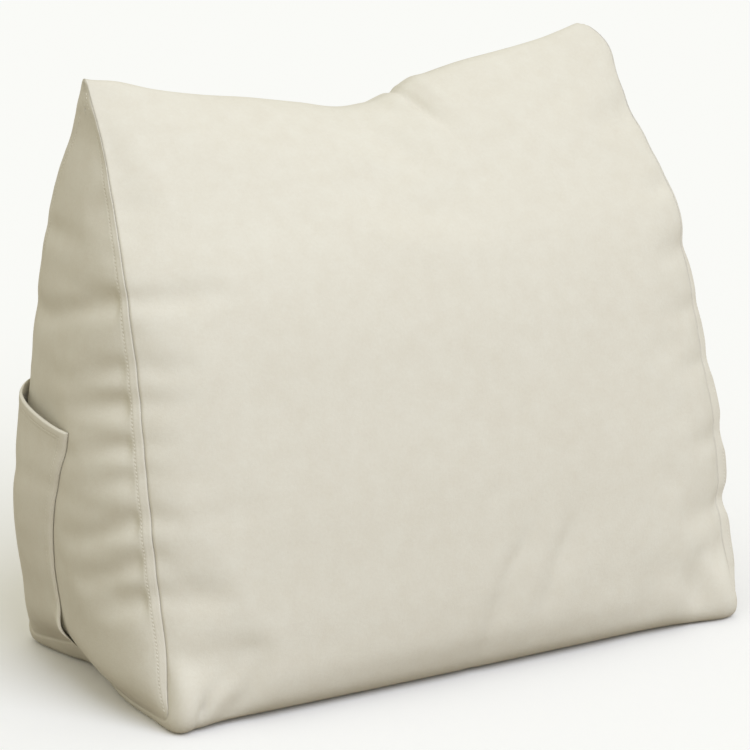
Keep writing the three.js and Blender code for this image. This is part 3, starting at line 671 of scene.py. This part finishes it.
def make_piece(name, points, faces, uv=None):
    """A smooth mesh piece on the part's body."""
    mesh = bpy.data.meshes.new(name)
    mesh.from_pydata((points * MM).tolist(), [], faces)
    mesh.shade_smooth()
    if uv is not None:
        loops = np.zeros(len(mesh.loops), int)
        mesh.loops.foreach_get("vertex_index", loops)
        layer = mesh.uv_layers.new(name="cloth")
        layer.data.foreach_set("uv", uv[loops].ravel())
    piece = placed(name, mesh)
    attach(piece, "root")
    return piece


uv = np.zeros((len(points), 2))
uv[fine_main_numbers] = cloth_map(fine_main)
for hand in (LEFT, RIGHT):
    uv[fine_side_numbers[hand][1:-1, 1:-1]] = fine_sides[hand][1:-1, 1:-1, 1:] * MM
cover = make_piece("cushion_cover", points + SHIFT, faces, uv)
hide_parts("cushion")
print("cover:", len(cover.data.polygons), "faces")

# %% [markdown]
# ## The side pocket
# A patch of the same cloth lies on the lower rear of the left side. Its mouth stands away from the
# panel, and its mouth and front edge are turned in and sewn, so that they are thicker and rounded.

# %% The pocket's surface
POCKET = {"back_inset": 3, "mouth": 197, "mouth_rise": 13, "foot": 3, "corner": 10, "seat": 0.3,
          "slit": 3.4, "gape": 9.8, "hem": 8, "hem_line": 6.6, "hem_raise": 0.5, "taut": 0.8, "fall": 1.45,
          "cloth": 2}
POCKET_FRONT = table("z y", [(10, 10), (38, 15), (54, 22), (75, 25), (110, 25), (150, 18), (182, 8), (205, 2)])


def side_places(y, z):
    """Level and across of points of the left side panel, by steps towards their depth and height."""
    level, across = np.full(y.shape, TOP / 2), np.full(y.shape, 0.5)
    nudge = 0.01
    for _ in range(24):
        here = side_panel(LEFT, level, across)
        up, over = side_panel(LEFT, level + nudge, across), side_panel(LEFT, level, across + nudge)
        level = np.clip(level + (z - here[..., 2]) / (up[..., 2] - here[..., 2]) * nudge, 0, TOP - 1)
        across = np.clip(across + (y - here[..., 1]) / (over[..., 1] - here[..., 1]) * nudge, 0, 1)
    return level, across


def pocket_flat(a, b):
    """Depth and height of the pocket's cloth: a from the back edge to the front, b foot to mouth."""
    mouth = POCKET["mouth"] + POCKET["mouth_rise"] * (1 - a)
    foot_front, foot_back = (seam(np.array(float(end)), LEFT) for end in (FOOT, BACK_FOOT))

    def depth(z):
        """The cloth's depth at a height, a of the way from its back edge to its front."""
        levels = numbers_at(z, LEVELS["z"])
        back_edge = seam(BACK_FOOT + levels, LEFT)[..., 1] - POCKET["back_inset"]
        return mix(back_edge, curve(POCKET_FRONT["z"], POCKET_FRONT["y"], z), a)

    across = (depth(np.full(a.shape, 2.0 * POCKET["foot"])) - foot_front[1]) / (foot_back[1] - foot_front[1])
    corner = POCKET["corner"] * step((a - 0.72) / 0.28)
    low = seam(mix(FOOT, BACK_FOOT, across), LEFT)[..., 2] + POCKET["foot"] + corner
    z = mix(low, mouth, b)
    return depth(z), z


def pocket_panel(a, b):
    """The pocket's inner face: the side panel under it, and outward its seat, its slit and its gape."""
    a, b = np.broadcast_arrays(a, b)
    y, z = pocket_flat(a, b)
    level, across = side_places(y, z)
    on_side = between(fine_sides[LEFT], *fine_side_numbers_at(level, across))
    arch = np.maximum(np.sin(np.pi * a), 0) ** POCKET["taut"]
    room = POCKET["gape"] * arch * step(POCKET["fall"] * b)
    slit = POCKET["slit"] * bell(z - 45, 9) * step((a - 0.8) / 0.2)
    return np.stack([on_side[..., 0] - POCKET["seat"] - slit - room, y, z], -1)


def fine_side_numbers_at(level, across):
    """Fractional row and column numbers of the fine left side for a level and an across."""
    rows = numbers_at(level, fine["levels"])
    table_rows = fine["across"][LEFT]
    near = table_rows[np.clip(np.round(rows).astype(int), 0, len(table_rows) - 1)]
    columns = (near <= across[..., None]).sum(-1) - 1
    columns = np.clip(columns, 0, near.shape[-1] - 2)
    low = np.take_along_axis(near, columns[..., None], -1)[..., 0]
    high = np.take_along_axis(near, columns[..., None] + 1, -1)[..., 0]
    return rows, columns + np.clip((across - low) / np.maximum(high - low, 1e-9), 0, 1)


def edge_stations(length, spacing, marks):
    """Shares from 0 to 1 along a length, with extra ones at the marks from both ends."""
    near = np.concatenate([[0], marks]) / length
    plain = np.linspace(near[-1], 1 - near[-1], round((1 - 2 * near[-1]) * length / spacing) + 1)
    return np.concatenate([near[:-1], plain, (1 - near[:-1])[::-1]])


RIM = np.array([0.12, 0.35, 0.7, 1.1, 1.7, 2.6, 3.8, 5.0, 6.0, 6.6, 7.2, 7.8, 8.6, 9.6])
POCKET_WIDTH, POCKET_HEIGHT = 104, 190
across_pocket = edge_stations(POCKET_WIDTH, 2.4, RIM)
up_pocket = edge_stations(POCKET_HEIGHT, 2.4, RIM)
inner = pocket_panel(across_pocket[None, :], up_pocket[:, None])
from_front, from_back = (1 - across_pocket)[None, :] * POCKET_WIDTH, across_pocket[None, :] * POCKET_WIDTH
from_mouth, from_foot = (1 - up_pocket)[:, None] * POCKET_HEIGHT, up_pocket[:, None] * POCKET_HEIGHT


def rounded(distance, radius):
    """A thickness share that closes to 0 at a rim, like the side of a circle."""
    return np.sqrt(np.maximum(1 - (1 - np.clip(distance / radius, 0, 1)) ** 2, 0))


def hem_relief(distance):
    """The turned hem is thicker, and its stitches pull a groove along it."""
    fold = 1 - step((distance - POCKET["hem"] + 0.8) / 1.2)
    return POCKET["hem_raise"] * fold - 0.5 * bell(distance - POCKET["hem_line"], 0.7)


reliefs = hem_relief(from_front), hem_relief(from_mouth)
hems, grooves = np.maximum(*reliefs), np.minimum(*reliefs).clip(max=0)
thickness = POCKET["cloth"] + hems + grooves
tucked = 0.25 + 0.75 * step(from_foot / 14)
rim = rounded(from_front, 1.3) * rounded(from_mouth, 1.3)
rim = rim * rounded(from_back, 0.9) * rounded(from_foot, 0.9) * tucked
outer = inner.copy()
outer[..., 0] -= thickness * rim + 0.02
inner_rim = inner.copy()
inner_rim[..., 0] -= (1 - rim) * 0.5
print("pocket grid:", inner.shape[:2])


# %% Make the pocket
def sheet_faces(rows, columns):
    """Faces of a closed sheet: outer grid, inner grid and the four rims between them."""
    front = np.arange(rows * columns).reshape(rows, columns)
    rear = front + rows * columns
    faces = panel_faces(front, False) + panel_faces(rear, True)
    for one, two in ((front[:, 0], rear[:, 0]), (rear[:, -1], front[:, -1]),
                     (rear[0], front[0]), (front[-1], rear[-1])):
        faces += np.stack([one[:-1], one[1:], two[1:], two[:-1]], -1).tolist()
    return faces


pocket_points = np.concatenate([outer.reshape(-1, 3), inner_rim.reshape(-1, 3)])
pocket_uv = np.concatenate([outer[..., 1:].reshape(-1, 2), inner[..., 1:].reshape(-1, 2)]) * MM
pocket_faces = sheet_faces(*inner.shape[:2])
pocket = make_piece("pocket_cloth", pocket_points + SHIFT, pocket_faces, pocket_uv)
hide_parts("side_pocket")
print("pocket:", len(pocket.data.polygons), "faces")

# %% [markdown]
# ## Topstitching
# Thick thread shows as a row of small beads with dark gaps. One bead is a short capsule, and a whole
# row is one mesh of copies along a path on the finished surface.

# %% Rows of stitches
PITCH, STITCH, THREAD = 2.8, 1.9, 0.45


def capsule(length, radius):
    """Rings of a lying capsule: points along X, six round, and its faces."""
    angles = np.arange(6) * np.pi / 3
    shape = [(-0.5, 0.0), (-0.42, 0.7), (-0.2, 1.0), (0.2, 1.0), (0.42, 0.7), (0.5, 0.0)]
    rings = [[(x * length, r * radius * np.cos(a), r * radius * np.sin(a)) for a in angles]
             for x, r in shape[1:-1]]
    points = [(-0.5 * length, 0, 0)] + [point for ring in rings for point in ring] + [(0.5 * length, 0, 0)]
    faces = [(0, 1 + (k + 1) % 6, 1 + k) for k in range(6)]
    for n in range(len(rings) - 1):
        base = 1 + 6 * n
        faces += [(base + k, base + (k + 1) % 6, base + 6 + (k + 1) % 6, base + 6 + k) for k in range(6)]
    last = 1 + 6 * (len(rings) - 1)
    faces += [(last + k, last + (k + 1) % 6, len(points) - 1) for k in range(6)]
    return np.array(points, float), faces


def stitch_row(path, normals, lift):
    """Points and faces of a row of stitches along a path, lying on its surface."""
    run = np.concatenate([[0], np.cumsum(np.linalg.norm(np.diff(path, axis=0), axis=1))])
    places = np.arange(PITCH, run[-1] - PITCH, PITCH)
    jitter = np.random.default_rng(7).normal(0, 0.1, len(places))
    at = [np.stack([np.interp(places + jitter + shift, run, path[:, n]) for n in range(3)], -1)
          for shift in (-1, 0, 1)]
    up = np.stack([np.interp(places, run, normals[:, n]) for n in range(3)], -1)
    along = at[2] - at[0]
    along /= np.linalg.norm(along, axis=1, keepdims=True)
    sideways = np.cross(up, along)
    sideways /= np.linalg.norm(sideways, axis=1, keepdims=True)
    up = np.cross(along, sideways)
    bead, bead_faces = capsule(STITCH, THREAD)
    axes = np.stack([along, sideways, up], 1)
    points = (at[1] + up * lift)[:, None, :] + np.einsum("pk,nkj->npj", bead, axes)
    faces = [[corner + len(bead) * n for corner in face] for n in range(len(places)) for face in bead_faces]
    return points.reshape(-1, 3), faces


def surface_path(hand, side, start, end):
    """A path on a finished side panel at the stitch line beside its front or back seam."""
    levels = np.linspace(start, end, 500)
    front, back = side_seams(hand, levels)
    width = back[:, 1] - front[:, 1]
    share = STITCH_LINE / width * np.minimum(1, STRIP_MOST * width)
    across = share if side == FRONT else 1 - share
    rows = numbers_at(levels, fine["levels"])
    near = fine["across"][hand]
    whole = np.floor(rows).astype(int).clip(0, len(near) - 2)
    columns = [np.array([numbers_at(a, near[w + k]) for a, w in zip(across, whole, strict=True)])
               for k in (0, 1)]
    columns = mix(columns[0], columns[1], rows - whole)
    grid = fine_sides[hand]
    normals = normals_of(grid, [hand, 0, 0])
    return between(grid, rows, columns), between(normals, rows, columns)


def join_rows(rows):
    """Several rows of stitches as one list of points and faces."""
    points, faces, used = [], [], 0
    for row_points, row_faces in rows:
        points.append(row_points)
        faces += [[corner + used for corner in face] for face in row_faces]
        used += len(row_points)
    return np.concatenate(points), faces


LIFT = 0.05
# hand, face, and the first and last level with stitches
STITCHED = ((LEFT, FRONT, 0.25, 10.3), (RIGHT, FRONT, 0.25, 10.3),
            (LEFT, BACK, 5.3, 9.5), (RIGHT, BACK, 0.25, 9.5))
stitch_points, stitch_faces = join_rows([stitch_row(*surface_path(*row), LIFT) for row in STITCHED])
cover_stitches = make_piece("cover_stitches", stitch_points + SHIFT, stitch_faces)

pocket_normals = normals_of(outer, [LEFT, 0, 0])
front_column = numbers_at(1 - POCKET["hem_line"] / POCKET_WIDTH, across_pocket)
mouth_row = numbers_at(1 - POCKET["hem_line"] / POCKET_HEIGHT, up_pocket)
rows = np.linspace(3, mouth_row, 300)
columns = np.linspace(3, front_column, 200)
down_front = [between(grid, rows, np.full(300, front_column)) for grid in (outer, pocket_normals)]
along_mouth = [between(grid, np.full(200, mouth_row), columns) for grid in (outer, pocket_normals)]
stitch_points, stitch_faces = join_rows([stitch_row(*down_front, -LIFT), stitch_row(*along_mouth, -LIFT)])
pocket_stitches = make_piece("pocket_stitches", stitch_points + SHIFT, stitch_faces)
print("stitches:", len(cover_stitches.data.polygons), "and", len(pocket_stitches.data.polygons), "faces")


# %% [markdown]
# ## Brushed cloth
# The cloth is a soft brushed cotton: a fine weave under short fibres. The weave is two crossing sets of
# ribs on the cloth's own map, the fibres are fine noise, and the colour drifts a little in both scales.

# %% Shader sums
class Wire:
    """A shader socket that can be used in sums like a number."""

    def __init__(self, tree, socket):
        self.tree, self.socket = tree, socket

    def make(self, kind, settings, inputs, output=0):
        """One more node in the same tree: its type, its settings, then what goes into its sockets."""
        node = self.tree.nodes.new(kind)
        for name, value in settings.items():
            setattr(node, name, value)
        for name, value in inputs.items():
            if isinstance(value, Wire):
                self.tree.links.new(value.socket, node.inputs[name])
            else:
                node.inputs[name].default_value = value
        return Wire(self.tree, node.outputs[output])

    def calculate(self, operation, one, two):
        """The result of a sum on two values."""
        return self.make("ShaderNodeMath", {"operation": operation}, {0: one, 1: two})

    def __add__(self, other):
        return self.calculate("ADD", self, other)

    def __sub__(self, other):
        return self.calculate("SUBTRACT", self, other)

    def __mul__(self, other):
        return self.calculate("MULTIPLY", self, other)

    def wave(self, pitch):
        """A rib pattern from 0 to 1 along this value."""
        return self.calculate("SINE", self * (2 * np.pi / pitch), 0) * 0.5 + 0.5


def new_material(name):
    """A material with nodes, and the inputs of its surface."""
    material = bpy.data.materials.new(name)
    material.use_nodes = True
    return material, material.node_tree.nodes["Principled BSDF"].inputs


def brushed_cloth(name, light, dark, weave_bump):
    """A cloth material: light and dark are its two close colours, drifting over the piece."""
    material, surface = new_material(name)
    tree = material.node_tree
    place = Wire(tree, tree.nodes.new("ShaderNodeTexCoord").outputs["Object"])
    threads = place.make("ShaderNodeUVMap", {"uv_map": "cloth"}, {})
    axes = threads.make("ShaderNodeSeparateXYZ", {}, {"Vector": threads})
    warp, weft = axes, Wire(tree, axes.socket.node.outputs["Y"])

    def noise(scale, detail):
        """Fine noise on the piece, with so many lumps to the metre."""
        return place.make("ShaderNodeTexNoise", {}, {"Vector": place, "Scale": scale, "Detail": detail})

    drift, patch, mottle, fibre = noise(9.0, 3.0), noise(75.0, 5.0), noise(420.0, 4.0), noise(1500.0, 2.0)
    blend = drift * 0.6 + patch * 1.3 + mottle * 0.9 - 0.9
    color = place.make("ShaderNodeMix", {"data_type": "RGBA"}, {"Factor": blend, "A": dark, "B": light}, 2)
    tree.links.new(color.socket, surface["Base Color"])
    rough = mottle * 0.12 + 0.84
    tree.links.new(rough.socket, surface["Roughness"])
    weave = warp.wave(0.0007) * weft.wave(0.0007)
    height = weave * 0.5 + fibre * 0.6 + mottle * 0.8
    bump = place.make("ShaderNodeBump", {}, {"Height": height, "Strength": weave_bump, "Distance": 0.0003})
    tree.links.new(bump.socket, surface["Normal"])
    surface["Sheen Weight"].default_value = 0.1
    surface["Sheen Roughness"].default_value = 0.5
    surface["Specular IOR Level"].default_value = 0.2
    return material


CREAM_LIGHT, CREAM_DARK = (0.812, 0.781, 0.683, 1), (0.764, 0.720, 0.614, 1)
CREAM_THREAD = (0.82, 0.785, 0.69, 1)
cover_cloth = brushed_cloth("cream brushed cotton", CREAM_LIGHT, CREAM_DARK, 0.5)
pocket_cloth_material = brushed_cloth("cream brushed cotton, pocket", CREAM_LIGHT, CREAM_DARK, 0.5)
thread, thread_surface = new_material("cream cotton thread")
thread_surface["Base Color"].default_value = CREAM_THREAD
thread_surface["Roughness"].default_value = 0.7
for piece, material in ((cover, cover_cloth), (pocket, pocket_cloth_material),
                        (cover_stitches, thread), (pocket_stitches, thread)):
    piece.data.materials.append(material)
print("materials:", [material.name for material in bpy.data.materials])

# %% [markdown]
# ## Studio
# A pale floor, a broad lamp high on the right in front, and a dim warm room. The lens is long, and the
# camera stands where the photographer stood.

# %% Floor, lamps and camera
def paper(name, height, color):
    """A wide level sheet of matt paper, at a height in metres and of a colour."""
    reach = 14.0
    corners = [(x * reach, y * reach, height) for x, y in ((-1, -1), (1, -1), (1, 1), (-1, 1))]
    mesh = bpy.data.meshes.new(name)
    mesh.from_pydata(corners, [], [(0, 1, 2, 3)])
    sheet = placed(name, mesh)
    matt, surface = new_material(name)
    surface["Base Color"].default_value = (*color, 1)
    surface["Roughness"].default_value = 1.0
    surface["Specular IOR Level"].default_value = 0.0
    mesh.materials.append(matt)
    return sheet


floor = paper("white paper", 0.0, (0.97, 0.97, 0.97))
floor.visible_diffuse = floor.visible_glossy = floor.visible_shadow = False
card = paper("warm grey card", -0.0005, (0.34, 0.30, 0.235))
card.visible_camera = False


def sun(name, azimuth, elevation, strength, color, width):
    """A distant lamp, as wide in degrees as its shadows are soft."""
    lamp = bpy.data.lights.new(name, "SUN")
    lamp.energy, lamp.color, lamp.angle = strength, color, np.radians(width)
    source = placed(name, lamp)
    a, e = np.radians(azimuth), np.radians(elevation)
    toward = Vector((np.sin(a) * np.cos(e), -np.cos(a) * np.cos(e), np.sin(e)))
    source.rotation_euler = toward.to_track_quat("Z", "Y").to_euler()


sun("window", 9, 45, 1.68, (0.76, 0.815, 1.0), 50)
world = bpy.data.worlds.new("room")
world.use_nodes = True
glow = world.node_tree.nodes["Background"].inputs
glow["Color"].default_value, glow["Strength"].default_value = (1.0, 0.976, 0.83, 1), 0.70
bpy.context.scene.world = world
bpy.context.scene.view_settings.view_transform = "Standard"

AZIMUTH, ELEVATION, DISTANCE = np.radians(-31.5), np.radians(15.15), 2636
PICTURE_WIDTH, SHIFT_PIXELS = 750, (-14, -24)
level_part = np.cos(ELEVATION)
backward = np.array([np.sin(AZIMUTH) * level_part, -np.cos(AZIMUTH) * level_part, np.sin(ELEVATION)])
look = np.array([0, 0, 221]) + SHIFT
camera_data = bpy.data.cameras.new("camera")
camera_data.lens, camera_data.sensor_width = 168, 36
camera_data.shift_x, camera_data.shift_y = (pixels / PICTURE_WIDTH for pixels in SHIFT_PIXELS)
camera = placed("camera", camera_data)
camera.location = Vector((look + backward * DISTANCE) * MM)
camera.rotation_euler = Vector(backward).to_track_quat("Z", "Y").to_euler()
bpy.context.scene.camera = camera
print("camera at", [round(value, 3) for value in camera.location])
